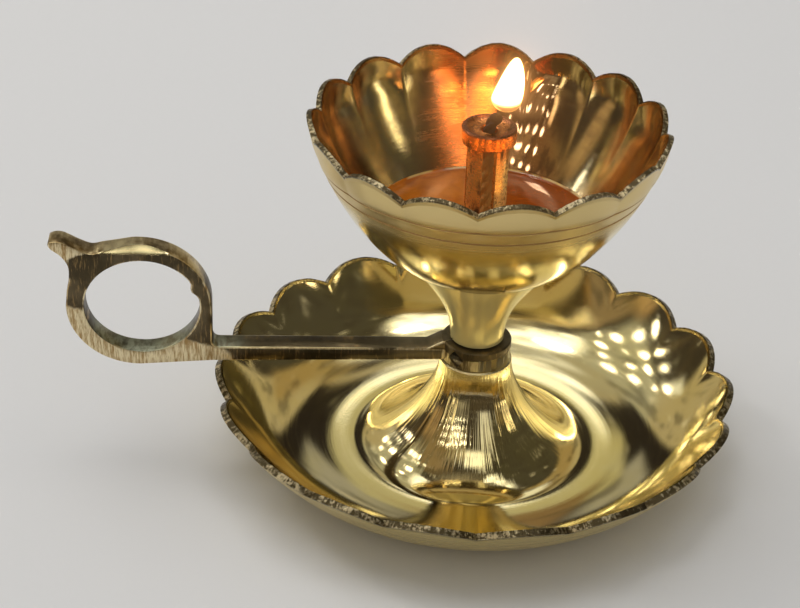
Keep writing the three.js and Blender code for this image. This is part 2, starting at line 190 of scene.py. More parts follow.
def engraved(outline, height, width, depth):
    """The outline with a small groove cut round it at a height."""
    middle = radius_at(outline, height)
    groove = [
        (middle - 0.5 * width * 0.25, height - width / 2),
        (middle - depth, height - width / 6),
        (middle - depth, height + width / 6),
        (middle + 0.5 * width * 0.25, height + width / 2),
    ]
    below = [point for point in outline if point[1] < height - 0.7 * width]
    above = [point for point in outline if point[1] > height + 0.7 * width]
    return below + groove + above


# Solids
def smoothstep(value, low, high):
    share = min(max((value - low) / (high - low), 0), 1)
    return share * share * (3 - 2 * share)


def azimuth(spot):
    """Degrees round the axis from the near side toward +X."""
    return math.degrees(math.atan2(spot.x, -spot.y))


def spun(outline, sides, first_angle=0, closed=True, marks=None):
    """Turned solid from (radius, height) points, with named marks on some of them."""
    solid = bmesh.new()
    layers = {name: solid.verts.layers.float.new(name) for name in (marks or {})}
    start = math.radians(first_angle)
    line = []
    for i, (radius, height) in enumerate(outline):
        vert = solid.verts.new((radius * math.sin(start), -radius * math.cos(start), height))
        for name, layer in layers.items():
            vert[layer] = marks[name](i)
        line.append(vert)
    edges = [solid.edges.new(pair) for pair in zip(line, line[1:])]
    if closed:
        edges.append(solid.edges.new((line[-1], line[0])))
    bmesh.ops.spin(
        solid, geom=line + edges, cent=(0, 0, 0), axis=(0, 0, 1), dvec=(0, 0, 0),
        angle=FULL_TURN, steps=sides, use_merge=True, use_duplicate=False,
    )
    bmesh.ops.remove_doubles(solid, verts=solid.verts, dist=1e-4)
    bmesh.ops.recalc_face_normals(solid, faces=solid.faces)
    return solid


def drum(radius, low, high, sides=ROUND_SIDES):
    return spun([(0, low), (radius, low), (radius, high), (0, high)], sides, 0, False)


def plate(outline, holes, thickness, rounding):
    """Flat casting cut along a side view, with rounded edges that are marked as worn."""
    solid = bmesh.new()
    edges = []
    for loop in [outline, *holes]:
        verts = [solid.verts.new((x, -thickness / 2 + rounding, z)) for x, z in loop]
        edges += [solid.edges.new((a, b)) for a, b in zip(verts, verts[1:] + verts[:1])]
    bmesh.ops.triangle_fill(solid, edges=edges, use_beauty=True, normal=(0, -1, 0))
    back = bmesh.ops.extrude_face_region(solid, geom=list(solid.faces), use_keep_orig=True)
    moved = [part for part in back["geom"] if isinstance(part, bmesh.types.BMVert)]
    bmesh.ops.translate(solid, verts=moved, vec=(0, thickness - 2 * rounding, 0))
    bmesh.ops.recalc_face_normals(solid, faces=solid.faces)
    for side in (-1, 1):
        for width, depth in ((0.3 * rounding, 0.7 * rounding), (0.7 * rounding, 0.3 * rounding)):
            cap = [face for face in solid.faces if side * face.normal.y > 0.99]
            rim = bmesh.ops.inset_region(
                solid, faces=cap, thickness=width, depth=depth,
                use_boundary=True, use_even_offset=True,
            )
            for face in rim["faces"]:
                face.material_index = 1
    return solid


def block(low, high):
    solid = bmesh.new()
    bmesh.ops.create_cube(solid, size=1)
    size = [top - bottom for bottom, top in zip(low, high)]
    middle = [(top + bottom) / 2 for bottom, top in zip(low, high)]
    bmesh.ops.scale(solid, vec=size, verts=solid.verts)
    bmesh.ops.translate(solid, vec=middle, verts=solid.verts)
    return solid


def combined(base, operation, *others):
    """Base joined with or cut by the other solids."""
    scene = bpy.context.scene
    made = []
    for solid in (base, *others):
        mesh = bpy.data.meshes.new("blank")
        solid.to_mesh(mesh)
        solid.free()
        for _ in range(3):
            mesh.materials.append(None)
        made.append(bpy.data.objects.new("blank", mesh))
        scene.collection.objects.link(made[-1])
    for other in made[1:]:
        cut = made[0].modifiers.new("cut", "BOOLEAN")
        cut.operation = operation
        cut.solver = "EXACT"
        cut.object = other
    bpy.context.view_layer.update()
    result = bmesh.new()
    result.from_object(made[0], bpy.context.evaluated_depsgraph_get())
    for blank in made:
        mesh = blank.data
        bpy.data.objects.remove(blank)
        bpy.data.meshes.remove(mesh)
    return result


def lobe_arch(spot, lobes, first_cusp):
    """Zero at the cusps and one in the middle of a lobe."""
    pitch = 360 / lobes
    across = ((azimuth(spot) - first_cusp) % pitch) / pitch
    return 1 - (2 * across - 1) ** 2


def scalloped(solid, lobes, first_cusp, cusp_height, swell, rise, swell_depth, rise_depth, outside):
    """Lobes between sharp cusps, full at the rim and fading out below it."""
    for vert in solid.verts:
        radius = vert.co.xy.length
        if radius < outside:
            continue
        arch = lobe_arch(vert.co, lobes, first_cusp)
        height = vert.co.z
        grown = 1 + swell * arch * smoothstep(height, cusp_height - swell_depth, cusp_height) / radius
        vert.co.x *= grown
        vert.co.y *= grown
        vert.co.z += rise * arch * smoothstep(height, cusp_height - rise_depth, cusp_height)


def filed(solid, depth, pitch, seed):
    """Small uneven file nicks along the marked rim."""
    rim = solid.verts.layers.float["rim"]
    for vert in solid.verts:
        if vert[rim] < 0.5:
            continue
        along = math.radians(azimuth(vert.co)) * vert.co.xy.length / pitch
        nick = noise.noise(Vector((along, vert.co.z * 0.4, seed)))
        vert.co.z -= depth * (0.5 + nick)


def settled(name, solid, body, nodes, materials, sharp=32):
    """Finished piece: sized to metres, set on the stem's axis and shaded by its edges."""
    bmesh.ops.scale(solid, vec=(MM, MM, MM), verts=solid.verts)
    bmesh.ops.translate(solid, vec=STEM_AXIS, verts=solid.verts)
    for face in solid.faces:
        face.smooth = True
    for edge in solid.edges:
        edge.smooth = edge.calc_face_angle(0) < math.radians(sharp)
    mesh = bpy.data.meshes.new(name)
    solid.to_mesh(mesh)
    solid.free()
    for material in materials:
        mesh.materials.append(material)
    piece = bpy.data.objects.new(name, mesh)
    bpy.context.scene.collection.objects.link(piece)
    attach(piece, body)
    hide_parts(*nodes)
    return piece


# Nodes of a finish
class Nodes:
    """A node tree, with short calls for the nodes that it is built from."""

    def __init__(self, tree):
        self.tree = tree

    def feed(self, source, socket):
        if isinstance(source, bpy.types.NodeSocket):
            self.tree.links.new(source, socket)
        else:
            socket.default_value = source

    def node(self, kind, inputs=(), **settings):
        """New node with its settings, and with constants or other nodes' results on its inputs."""
        made = self.tree.nodes.new(kind)
        for name, value in settings.items():
            setattr(made, name, value)
        for socket, source in inputs:
            self.feed(source, made.inputs[socket])
        return made

    def split(self, place):
        return self.node("ShaderNodeSeparateXYZ", [("Vector", place)]).outputs

    def joined(self, *parts):
        return self.node("ShaderNodeCombineXYZ", zip("XYZ", parts)).outputs["Vector"]

    def math(self, operation, *values):
        return self.node("ShaderNodeMath", enumerate(values), operation=operation).outputs[0]

    def chain(self, operation, values):
        result = values[0]
        for value in values[1:]:
            result = self.math(operation, result, value)
        return result

    def times(self, *values):
        return self.chain("MULTIPLY", values)

    def plus(self, *values):
        return self.chain("ADD", values)

    def most(self, *values):
        return self.chain("MAXIMUM", values)

    def without(self, value):
        return self.math("SUBTRACT", 1.0, value)

    def turn_between(self, bearing, middle):
        """Degrees between two bearings, the short way round."""
        turn = self.math("WRAP", self.math("SUBTRACT", bearing, middle), 180, -180)
        return self.math("ABSOLUTE", turn)

    def facing(self, place, direction):
        parts = [(0, place), (1, Vector(direction).normalized())]
        return self.node("ShaderNodeVectorMath", parts, operation="DOT_PRODUCT").outputs["Value"]

    def noise(self, place, scale, detail=3.0, roughness=0.55, distortion=0.0):
        made = self.node("ShaderNodeTexNoise", [
            ("Vector", place), ("Scale", scale), ("Detail", detail), ("Roughness", roughness),
            ("Distortion", distortion),
        ])
        return made.outputs["Fac"]

    def spread(self, value, low, high, start=0.0, end=1.0):
        """Smooth change from start to end while the value goes from low to high."""
        made = self.node("ShaderNodeMapRange", [
            ("Value", value), ("From Min", low), ("From Max", high), ("To Min", start), ("To Max", end),
        ], interpolation_type="SMOOTHSTEP")
        return made.outputs["Result"]

    def span(self, value, start, full, fading, end):
        """One from full to fading, and zero before start and after end."""
        return self.times(self.spread(value, start, full), self.spread(value, end, fading))

    def mixed(self, share, first, second):
        inputs = [("Factor", share), ("A", first), ("B", second)]
        return self.node("ShaderNodeMix", inputs, data_type="RGBA").outputs["Result"]


class Finish(Nodes):
    """One finish: a Principled shader and places in millimetres from the stem's axis."""

    def __init__(self, name):
        self.material = bpy.data.materials.new(name)
        self.material.use_nodes = True
        super().__init__(self.material.node_tree)
        self.shader = self.tree.nodes["Principled BSDF"]
        self.on_piece = self.node("ShaderNodeTexCoord").outputs
        centred = self.moved(self.on_piece["Object"], Location=-STEM_AXIS)
        self.place = self.moved(centred, Scale=(1 / MM, 1 / MM, 1 / MM))
        self.x, self.y, self.z = self.split(self.place)
        self.bumps = None

    def moved(self, place, **values):
        return self.node("ShaderNodeMapping", [("Vector", place), *values.items()]).outputs["Vector"]

    def stretched(self, scale, turn=(0, 0, 0)):
        return self.moved(self.place, Scale=scale, Rotation=[math.radians(angle) for angle in turn])

    def radius(self):
        flat = self.joined(self.x, self.y)
        return self.node("ShaderNodeVectorMath", [(0, flat)], operation="LENGTH").outputs["Value"]

    def round_the_axis(self, across, along, up):
        """Coordinates for marks that run round the axis, without a seam."""
        radius = self.radius()
        return self.joined(
            self.times(self.math("DIVIDE", self.x, radius), along),
            self.times(self.math("DIVIDE", self.y, radius), along),
            self.plus(self.times(radius, across), self.times(self.z, up)),
        )

    def turned_tangent(self):
        """Direction of the lathe's cut, round the axis."""
        across = self.joined(self.times(self.y, -1.0), self.x)
        unit = self.node("ShaderNodeVectorMath", [(0, across)], operation="NORMALIZE").outputs["Vector"]
        placed = self.node("ShaderNodeVectorTransform", [("Vector", unit)], vector_type="VECTOR")
        placed.convert_from = "OBJECT"
        placed.convert_to = "WORLD"
        return placed.outputs["Vector"]

    def cells(self, place, scale):
        inputs = [("Vector", place), ("Scale", scale)]
        return self.node("ShaderNodeTexVoronoi", inputs, feature="F1").outputs["Distance"]

    def attribute(self, name):
        return self.node("ShaderNodeAttribute", attribute_name=name).outputs["Fac"]

    def set(self, **values):
        """Constants or node results on the shader's sockets."""
        for name, value in values.items():
            self.feed(value, self.shader.inputs[name.replace("_", " ")])

    def colour(self, source):
        self.set(Base_Color=source)

    def roughness(self, source):
        self.set(Roughness=source)

    def bump(self, height, strength, distance):
        """Relief in metres, added to any that is there already."""
        inputs = [("Strength", strength), ("Distance", distance), ("Height", height)]
        if self.bumps is not None:
            inputs.append(("Normal", self.bumps))
        self.bumps = self.node("ShaderNodeBump", inputs).outputs["Normal"]
        self.set(Normal=self.bumps)


def rgb(red, green, blue):
    return (red, green, blue, 1.0)


BRIGHT_BRASS = rgb(0.86, 0.74, 0.43)
YELLOW_BRASS = rgb(0.85, 0.71, 0.34)
PALE_BRASS = rgb(0.86, 0.74, 0.47)
BROWN_BRASS = rgb(0.42, 0.27, 0.11)
# orange-copper for the flame's glow painted on the cup's back wall, over some heat tint
HEAT_TINT_AND_GLOW = rgb(0.66, 0.19, 0.035)
STAINED_BRASS = rgb(0.52, 0.41, 0.26)
TARNISH = rgb(0.30, 0.22, 0.10)
FILED_BRASS = rgb(0.10, 0.078, 0.042)
FILED_BRIGHT = rgb(0.66, 0.56, 0.36)
VERDIGRIS = rgb(0.36, 0.38, 0.29)
DARK_PATINA = rgb(0.070, 0.054, 0.030)
BAND_BRASS = rgb(0.77, 0.60, 0.27)
STEM_BRASS = rgb(0.98, 0.80, 0.30)
ENGRAVED_SHADE = rgb(0.36, 0.20, 0.07)
FILE_CUTS_ROUND = 90.0


def file_cuts(finish):
    """Uneven file cuts round a rim: close dark nicks in some stretches, bare metal in others."""
    nicks = finish.noise(finish.round_the_axis(0.7, FILE_CUTS_ROUND, 0.7), 1.0, 3.0, 0.7)
    dents = finish.noise(finish.place, 1.1, 3.0, 0.65)
    stretches = finish.noise(finish.place, 0.11, 2.0, 0.5)
    return finish.plus(finish.times(nicks, 0.3), finish.times(dents, 0.45), finish.times(stretches, 0.25))


def filed_colour(finish, base, rim, cuts):
    """The piece's colour, with the dark and the bare tones of its file cuts along the rim."""
    tone = finish.mixed(finish.spread(cuts, 0.48, 0.58), FILED_BRASS, FILED_BRIGHT)
    finish.colour(finish.mixed(finish.spread(rim, 0.55, 0.85), base, tone))


def saucer_brass():
    """Mirror polish with faint lathe lines, file cuts along the rim."""
    finish = Finish("polished saucer brass")
    finish.set(Metallic=1.0)
    rim = finish.attribute("rim")
    outside = finish.attribute("outside")
    clouds = finish.noise(finish.place, 0.05, 4.0, 0.6)
    specks = finish.noise(finish.place, 1.1, 3.0, 0.7)
    pits = finish.noise(finish.place, 1.7, 3.0, 0.7)
    lathe = finish.noise(finish.round_the_axis(2.2, 1.5, 2.2), 1.0, 4.0, 0.6)
    streaks = finish.noise(finish.round_the_axis(0.05, 13.0, 0.05), 1.0, 3.0, 0.6)
    cuts = file_cuts(finish)
    base = finish.mixed(finish.spread(clouds, 0.35, 0.7), BRIGHT_BRASS, YELLOW_BRASS)
    base = finish.mixed(finish.spread(specks, 0.66, 0.78, 0.0, 0.5), base, TARNISH)
    base = finish.mixed(outside, base, YELLOW_BRASS)
    filed_colour(finish, base, rim, cuts)
    polish = finish.spread(lathe, 0.3, 0.75, 0.045, 0.11)
    neck = finish.spread(finish.z, 22.5, 23.8, 0.0, 0.22)
    satin = finish.plus(polish, finish.times(outside, 0.2), neck)
    finish.roughness(finish.most(satin, finish.times(rim, 0.34)))
    cone = finish.spread(finish.radius(), 24.0, 17.0)
    finish.bump(lathe, 0.25, 0.00003)
    finish.bump(pits, 0.16, 0.00003)
    finish.bump(finish.times(streaks, cone), 0.6, 0.00025)
    finish.bump(finish.times(cuts, rim), 0.8, 0.0007)
    return finish.material


def cup_brass():
    """Brushed upper band, polished lower bowl darkened by painted shade, streaked sheen on the stem, and
    the flame's orange glow painted on the back wall over some heat tint.
    """
    finish = Finish("brushed cup brass")
    x, y, z = finish.x, finish.y, finish.z
    brush = finish.noise(finish.round_the_axis(0.0, 2.6, 7.5), 1.0, 5.0, 0.7)
    fine = finish.noise(finish.round_the_axis(0.0, 9.0, 26.0), 1.0, 3.0, 0.7)
    stain = finish.noise(finish.round_the_axis(0.0, 3.2, 0.22), 1.0, 4.0, 0.6)
    streaks = finish.noise(finish.round_the_axis(0.0, 11.0, 0.05), 1.0, 4.0, 0.65)
    clouds = finish.noise(finish.place, 0.07, 4.0, 0.6)
    cuts = file_cuts(finish)

    rim = finish.attribute("rim")
    inside = finish.attribute("inside")
    outer = finish.without(inside)
    stem = finish.spread(z, 50.6, 49.6)
    band = finish.times(finish.spread(z, 66.0, 73.0), outer)
    shaded_lower_bowl = finish.times(outer, finish.spread(z, 62.0, 56.0), finish.without(stem))
    stained = finish.times(inside, finish.spread(stain, 0.40, 0.64, 0.35, 1.0))
    # painted light: behind the flame the inner wall gets the flame's glow painted in, over some real heat
    # tint
    behind = finish.times(finish.spread(y, 4.0, 17.0), finish.span(x, -18.0, -6.0, 14.0, 24.0))
    heat_and_glow = finish.times(behind, finish.spread(fine, 0.3, 0.55, 0.7, 1.0), inside)
    wiped = finish.times(finish.span(x, 3.0, 6.0, 16.0, 22.0), finish.spread(y, 4.0, 12.0), inside)

    base = finish.mixed(finish.spread(clouds, 0.3, 0.7), BRIGHT_BRASS, YELLOW_BRASS)
    base = finish.mixed(band, base, BAND_BRASS)
    base = finish.mixed(finish.times(stained, 0.8), base, STAINED_BRASS)
    # painted light and shade: orange-copper glow at and left of the flame, darker red-brown to its right
    tint = finish.mixed(finish.spread(x, 3.0, 9.0), HEAT_TINT_AND_GLOW, rgb(0.40, 0.15, 0.06))
    base = finish.mixed(finish.times(heat_and_glow, 0.8), base, tint)
    # painted shade: the bowl's lower outside is darkened toward brown
    base = finish.mixed(finish.times(shaded_lower_bowl, 0.45), base, BROWN_BRASS)
    base = finish.mixed(finish.times(stem, 0.8), base, STEM_BRASS)
    for height in ENGRAVED_LINES:
        away = finish.math("ABSOLUTE", finish.math("SUBTRACT", z, height))
        base = finish.mixed(finish.times(finish.spread(away, 0.28, 0.1), outer), base, ENGRAVED_SHADE)
    filed_colour(finish, base, rim, cuts)

    satin = finish.plus(
        finish.spread(brush, 0.3, 0.7, 0.06, 0.13),
        finish.times(inside, -0.02),
        finish.times(band, 0.22),
        finish.times(stem, 0.11),
        finish.times(heat_and_glow, finish.spread(x, 8.0, 1.0, 0.25, 1.0), 0.19),
        finish.times(inside, finish.spread(stain, 0.4, 0.7), 0.12),
    )
    satin = finish.times(satin, finish.without(finish.times(wiped, 0.7)))
    finish.roughness(finish.most(satin, finish.times(rim, 0.36)))
    finish.set(
        Metallic=finish.without(finish.times(stem, 0.52)),
        Anisotropic=finish.plus(finish.times(stem, 0.8), finish.times(inside, 0.15)),
        Anisotropic_Rotation=0.25,
        Tangent=finish.turned_tangent(),
    )
    brushed = finish.times(finish.without(stem), finish.without(finish.times(wiped, 0.92)))
    finish.bump(finish.times(brush, brushed), 0.3, 0.00004)
    finish.bump(finish.times(fine, finish.plus(band, 0.15), brushed), 0.5, 0.00003)
    finish.bump(finish.times(streaks, stem), 0.5, 0.0001)
    finish.bump(finish.times(cuts, rim), 0.8, 0.0006)
    return finish.material


def handle_brass(name, wear):
    """Cast brass with dark patina, file hatching, and worn bright places."""
    finish = Finish(name)
    x, z = finish.x, finish.z
    hatch = finish.noise(finish.stretched((2.3, 0.16, 0.28), (0, 24, 0)), 1.0, 4.0, 0.7)
    grain = finish.noise(finish.stretched((1, 0.4, 1)), 0.9, 3.0, 0.6)
    patches = finish.noise(finish.place, 0.12, 3.0, 0.6)
    normal = finish.split(finish.on_piece["Normal"])
    sideways = finish.math("ABSOLUTE", normal["Y"])
    upward = normal["Z"]
    level = finish.spread(upward, 0.3, 0.7)
    cloudy = finish.plus(finish.times(grain, 0.4), finish.times(patches, 0.6))
    hatch = finish.plus(finish.times(hatch, finish.without(level)), finish.times(cloudy, level))

    loop = finish.spread(x, -50.0, -60.0)
    side = finish.spread(sideways, 0.7, 0.95)
    tip_edge = finish.plus(z, finish.times(finish.plus(x, 88.0), -0.5), finish.times(patches, 5.0))
    tip = finish.times(finish.spread(x, -84.0, -88.0), finish.spread(tip_edge, 51.6, 53.4), side)
    uneven = finish.times(finish.plus(patches, finish.times(hatch, 0.6)), 6.0)
    slant = finish.plus(z, finish.times(finish.plus(x, 91.9), 0.32), uneven)
    low = finish.times(side, finish.spread(slant, 43.8, 41.2))
    crown = finish.times(finish.spread(upward, 0.25, 0.5), finish.spread(z, 38.0, 46.0))
    tilted = finish.times(finish.spread(sideways, 0.3, 0.5), finish.spread(upward, 0.3, 0.5))
    ridge = finish.times(tilted, loop, finish.spread(z, 44.0, 48.0))
    bar_edge = finish.times(finish.span(z, 25.8, 26.3, 27.6, 28.2), finish.spread(x, -12.0, -30.0))
    half = finish.spread(x, -2.5, 1.5, 0.3, 1.0)
    skirt = finish.times(finish.spread(finish.radius(), 8.7, 8.3), finish.spread(z, 27.1, 26.8), half)
    if wear > 1:
        rubbed = finish.spread(grain, 0.2, 0.6, 0.6, 1.0)
        finish.set(Metallic=0.7)
    else:
        rubbed = finish.most(finish.spread(patches, 0.42, 0.62, 0.1, 0.8), bar_edge)
        finish.set(Metallic=1.0)

    bare = finish.plus(finish.times(finish.most(low, tip), 0.62), finish.times(crown, 0.40))
    bare = finish.plus(finish.times(bare, loop), finish.times(rubbed, wear), ridge, skirt)
    bare = finish.plus(bare, finish.times(patches, 0.5), finish.times(hatch, 0.5))
    bare = finish.spread(bare, 0.66, 0.98)
    worn = finish.mixed(finish.spread(hatch, 0.36, 0.62), BROWN_BRASS, PALE_BRASS)
    worn = finish.mixed(finish.most(skirt, ridge, finish.times(bar_edge, wear)), worn, BRIGHT_BRASS)
    olive = finish.mixed(finish.spread(patches, 0.4, 0.7), DARK_PATINA, rgb(0.15, 0.115, 0.065))
    olive = finish.mixed(finish.spread(hatch, 0.52, 0.7, 0.0, 0.6), olive, BROWN_BRASS)
    grime = finish.spread(grain, 0.35, 0.6, 0.3, 0.9)
    cast = finish.times(level, finish.spread(z, 34.0, 30.0), loop, grime)
    finish.colour(finish.mixed(cast, finish.mixed(bare, olive, worn), VERDIGRIS))

    rough = finish.plus(finish.spread(grain, 0.3, 0.7, 0.28, 0.46), finish.times(skirt, 0.1))
    finish.roughness(finish.plus(finish.times(rough, finish.without(ridge)), finish.times(ridge, 0.2)))
    unworn = finish.without(finish.times(ridge, 0.9))
    finish.bump(finish.times(hatch, unworn), 0.5, 0.00016)
    finish.bump(finish.times(grain, unworn), 0.2, 0.00008)
    return finish.material


def heated_brass():
    """Wick holder brass, coppered and sooted by the flame, with the flame's light painted on its right
    leg.
    """
    finish = Finish("heated holder brass")
    x, z = finish.x, finish.z
    soot = finish.noise(finish.stretched((1, 1, 0.5)), 0.3, 3.0, 0.6)
    grain = finish.noise(finish.place, 1.4, 3.0, 0.6)
    high = finish.spread(z, 70.0, 80.0)
    legs = finish.spread(z, 79.0, 75.0)
    bore = finish.times(finish.spread(finish.radius(), 4.1, 3.7), finish.spread(z, 79.6, 79.0))
    # painted light: the right leg is painted bright yellow as lit by the flame, the left a darker orange
    flame_lit_legs = finish.mixed(finish.spread(x, -2.0, 2.5), rgb(0.74, 0.36, 0.10), rgb(1.0, 0.80, 0.34))
    base = finish.mixed(high, flame_lit_legs, rgb(0.76, 0.28, 0.08))
    base = finish.mixed(finish.spread(z, 81.0, 81.9, 0.0, 0.8), base, rgb(0.20, 0.07, 0.05))
    base = finish.mixed(finish.spread(soot, 0.52, 0.72), base, rgb(0.05, 0.03, 0.02))
    finish.colour(finish.mixed(bore, base, rgb(0.95, 0.52, 0.14)))
    dull = finish.plus(finish.times(bore, 0.6), finish.times(legs, finish.without(bore), 0.4))
    finish.set(Metallic=finish.without(dull))
    finish.roughness(finish.spread(grain, 0.3, 0.7, 0.2, 0.42))
    finish.bump(grain, 0.35, 0.0002)
    finish.bump(soot, 0.4, 0.0004)
    return finish.material


def wick_cotton():
    """Oily twisted cotton, charred black above the holder."""
    finish = Finish("burnt wick cotton")
    fibres = finish.noise(finish.stretched((3, 3, 0.8)), 1.6, 5.0, 0.75)
    crust = finish.cells(finish.place, 1.8)
    burnt = finish.spread(finish.z, 77.0, 81.5)
    cotton = finish.mixed(fibres, rgb(0.62, 0.34, 0.09), rgb(0.86, 0.55, 0.18))
    char = finish.mixed(fibres, rgb(0.006, 0.005, 0.006), rgb(0.03, 0.022, 0.02))
    finish.colour(finish.mixed(burnt, cotton, char))
    finish.roughness(finish.spread(fibres, 0.3, 0.7, 0.7, 0.95))
    finish.bump(fibres, 0.7, 0.0003)
    finish.bump(crust, 0.5, 0.0004)
    return finish.material


def flame_glow():
    """Flame: white heart, yellow foot and thin orange edge."""
    finish = Finish("flame glow")
    edge = finish.node("ShaderNodeLayerWeight", [("Blend", 0.35)])
    rising = finish.spread(finish.z, 87.7, 89.8)
    body = finish.mixed(rising, rgb(0.010, 0.0025, 0.0004), rgb(1.0, 0.42, 0.12))
    flicker = finish.noise(finish.stretched((1, 1, 0.4)), 0.5, 2.0, 0.5)
    body = finish.mixed(finish.spread(flicker, 0.4, 0.8, 0.0, 0.25), body, rgb(0.8, 0.40, 0.09))
    glow = finish.mixed(finish.spread(edge.outputs["Facing"], 0.45, 0.95), body, rgb(0.05, 0.02, 0.003))
    finish.colour(rgb(1.0, 0.7, 0.3))
    finish.set(Emission_Color=glow, Emission_Strength=22.0, Roughness=1.0)
    return finish.material


def lamp_oil():
    """Clear amber oil with a faint swirl of soot, a painted highlight in places along its edge, and
    painted light that leaves it lighter on the left.
    """
    finish = Finish("amber lamp oil")
    swirl = finish.noise(finish.place, 0.16, 4.0, 0.6, 0.8)
    motes = finish.noise(finish.place, 2.6, 2.0, 0.6)
    broken = finish.noise(finish.place, 0.2, 2.0, 0.5)
    edge = radius_at(bowl_inside(34), OIL_LEVEL)
    # painted highlight: a broken bright amber line along the oil's edge at the wall
    thin = finish.times(
        finish.spread(finish.radius(), edge - 0.7, edge - 0.2), finish.spread(broken, 0.42, 0.56),
    )
    lit = finish.spread(finish.x, -7.0, 9.0)
    base = finish.mixed(lit, rgb(0.82, 0.25, 0.008), rgb(0.46, 0.09, 0.002))
    base = finish.mixed(finish.spread(swirl, 0.35, 0.7, 0.0, 0.6), base, rgb(0.34, 0.06, 0.002))
    base = finish.mixed(finish.spread(motes, 0.70, 0.76), base, rgb(0.12, 0.05, 0.02))
    finish.colour(finish.mixed(thin, base, rgb(1.0, 0.74, 0.26)))
    finish.roughness(finish.spread(motes, 0.3, 0.8, 0.01, 0.05))
    finish.set(Transmission_Weight=0.5, IOR=1.47)
    finish.bump(swirl, 0.1, 0.0003)
    return finish.material


def turned_brass(name, pitch):
    """Machined brass with lathe marks, and a thread where a pitch is given."""
    finish = Finish(name)
    finish.set(Metallic=1.0)
    marks = finish.noise(finish.round_the_axis(6.0, 1.2, 6.0), 1.0, 4.0, 0.65)
    dull = finish.noise(finish.place, 0.5, 4.0, 0.6)
    finish.colour(finish.mixed(finish.spread(dull, 0.4, 0.7), YELLOW_BRASS, BROWN_BRASS))
    finish.roughness(finish.spread(marks, 0.3, 0.7, 0.22, 0.4))
    finish.bump(marks, 0.4, 0.00006)
    if pitch:
        turn = finish.math("DIVIDE", finish.math("ARCTAN2", finish.y, finish.x), FULL_TURN)
        climb = finish.plus(finish.math("DIVIDE", finish.z, pitch), turn)
        thread = finish.math("PINGPONG", climb, 0.5)
        finish.bump(thread, 1.0, 0.0009)
    return finish.material


def rim_marks(rim_at, beyond):
    """Marks for the two points at an outline's rim, and for all the points beyond it."""
    return {
        "rim": lambda i: 1.0 if rim_at <= i <= rim_at + 1 else 0.0,
        beyond: lambda i: 1.0 if i > rim_at else 0.0,
    }


# Saucer
def saucer():
    lean = math.radians(SAUCER_RIM_SLOPE)
    inner_rim = (
        SAUCER_CUSP_RADIUS - SAUCER_WALL * math.sin(lean),
        SAUCER_CUSP_HEIGHT + SAUCER_WALL * math.cos(lean),
    )
    cone = sweep((NECK_RADIUS, NECK_HEIGHT), -90, 11.5, SAUCER_TROUGH, 0, 6.5, 26)
    wall = sweep(SAUCER_TROUGH, 0, 13.5, inner_rim, SAUCER_RIM_SLOPE, 12.0, 34)
    top = cone + wall[1:]
    under = [
        (radius, max(height, 0))
        for radius, height in offset(top, -SAUCER_WALL)
        if height < NECK_SEAT or radius > SAUCER_TROUGH[0]
    ]
    under.reverse()
    boss = [
        (BORE_RADIUS, NECK_SEAT), (BORE_RADIUS, BOSS_TOP), (BOSS_RADIUS - 0.25, BOSS_TOP),
        (BOSS_RADIUS, BOSS_TOP - 0.25), (BOSS_RADIUS, NECK_HEIGHT),
    ]
    shoulder = [(NECK_RADIUS - 0.3, NECK_HEIGHT), (NECK_RADIUS, NECK_HEIGHT - 0.3)]
    rim_at = len(boss) + len(shoulder) + len(top) - 2
    outline = boss + shoulder + top[1:] + under + [(under[-1][0], NECK_SEAT)]
    marks = rim_marks(rim_at, "outside")
    solid = spun(outline, SAUCER_LOBES * 24, SAUCER_FIRST_CUSP, True, marks)
    scalloped(
        solid, SAUCER_LOBES, SAUCER_FIRST_CUSP, SAUCER_CUSP_HEIGHT,
        swell=2.45, rise=2.75, swell_depth=9.0, rise_depth=9.0, outside=SAUCER_TROUGH[0],
    )
    filed(solid, depth=0.12, pitch=0.9, seed=3.0)
    return settled("saucer", solid, "stand", ["base_plate"], [saucer_brass()])


# Cup
def bowl_outside(steps):
    return sweep(CREASE, 17, 8.6, (CUP_CUSP_RADIUS, CUP_CUSP_HEIGHT), 77, 10.7, steps)


def bowl_inside(steps):
    inside = offset(bowl_outside(steps), CUP_WALL)
    return [point for point in inside if point[1] > CUP_FLOOR]


def cup():
    flare = sweep((STEM_RADIUS, STEM_FOOT), 90, 9.2, CREASE, 55, 8.9, 26)
    outside = bowl_outside(34)
    for height in ENGRAVED_LINES:
        outside = engraved(outside, height, 0.5, 0.13)
    inside = bowl_inside(34)
    inside.reverse()
    foot = [
        (0, STEM_BORE_TOP), (BORE_RADIUS, STEM_BORE_TOP), (BORE_RADIUS, STEM_SEAT),
        (STEM_RADIUS - 0.9, STEM_SEAT), (STEM_RADIUS - 0.9, STEM_FOOT),
        (STEM_RADIUS - 0.15, STEM_FOOT), (STEM_RADIUS, STEM_FOOT + 0.15),
    ]
    floor = [
        (inside[-1][0] - 1.3, CUP_FLOOR), (SOCKET_RADIUS, CUP_FLOOR),
        (SOCKET_RADIUS, SOCKET_FLOOR), (0, SOCKET_FLOOR),
    ]
    bead = arc(CREASE[0] - 0.2, CREASE[1], 0.38, 0.38, -75, 75, 8)
    outline = foot + flare[1:-1] + bead + outside[2:] + inside + floor
    rim_at = len(outline) - len(floor) - len(inside) - 1
    marks = rim_marks(rim_at, "inside")
    solid = spun(outline, CUP_LOBES * 28, CUP_FIRST_CUSP, False, marks)
    scalloped(
        solid, CUP_LOBES, CUP_FIRST_CUSP, CUP_CUSP_HEIGHT,
        swell=1.05, rise=3.15, swell_depth=7.0, rise_depth=4.0, outside=CREASE[0],
    )
    fluted(solid)
    filed(solid, depth=0.1, pitch=0.6, seed=8.0)
    return settled("cup_and_stem", solid, "cup", ["cup"], [cup_brass()])


